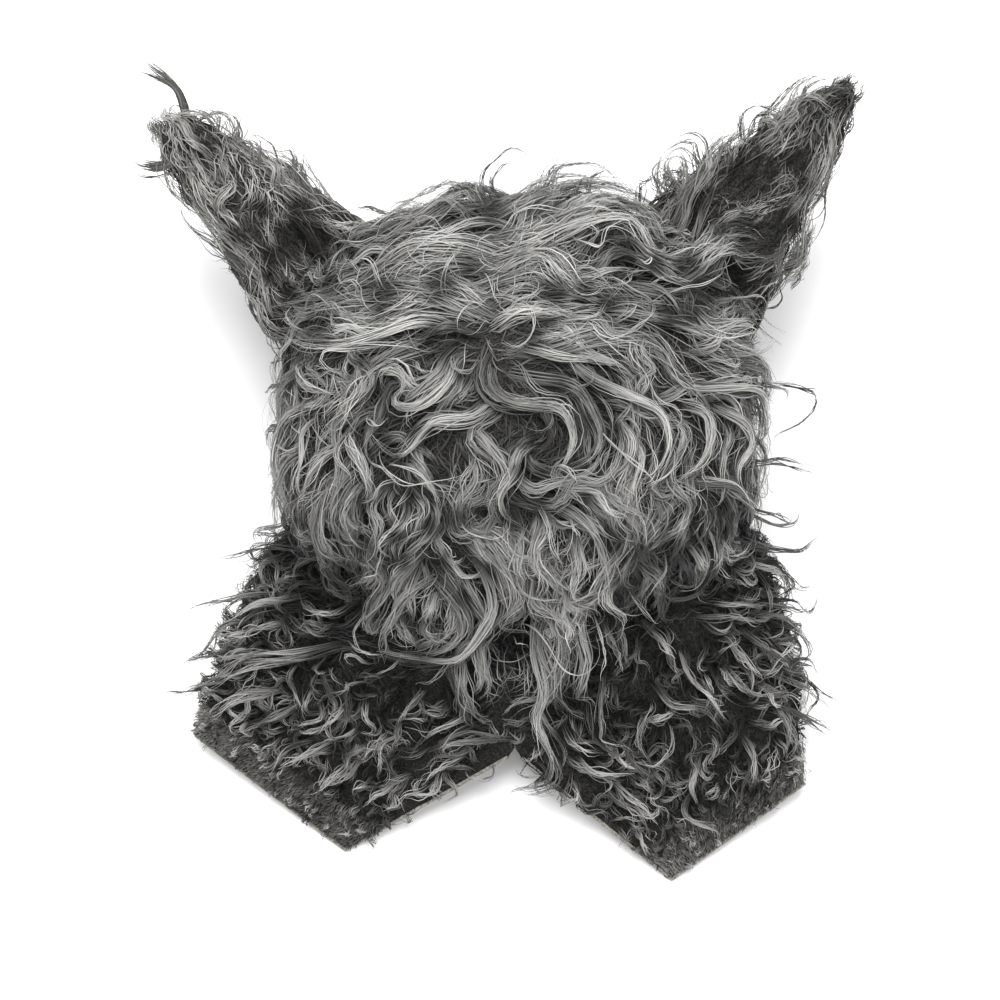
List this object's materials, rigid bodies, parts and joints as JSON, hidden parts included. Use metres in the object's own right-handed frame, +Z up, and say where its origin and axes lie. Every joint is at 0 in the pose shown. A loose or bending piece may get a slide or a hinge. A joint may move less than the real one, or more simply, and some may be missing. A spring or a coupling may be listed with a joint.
{
  "type": "werewolf mask",
  "caption": "Hollow pull-over mask of grey curly fur with pointed ears, a moulded wolf's face and a short-furred neck slit at the back, lying on its face.",
  "frame": {"origin": "on the floor under the middle of the bounding box, as the mask lies on its face", "axes": "+Z up, out of the back of the head; +Y towards the crown and the ears; +X to the right as seen from above with the crown away from the viewer, which is the wearer's right"},
  "size_m": [0.437, 0.4786, 0.2329],
  "materials": {
    "hood_fur": "long grey curly faux fur, soft sheen",
    "ear_fur": "matted grey faux fur",
    "neck_fur": "short charcoal curly faux fur on a beige knitted backing",
    "face_latex": "matt dark moulded latex"
  },
  "bodies": {
    "root": {"hood": "hood_fur", "face": "face_latex", "ear_left": "ear_fur", "ear_right": "ear_fur", "neck_panel_left": "neck_fur", "neck_panel_right": "neck_fur"}
  },
  "joints": []
}
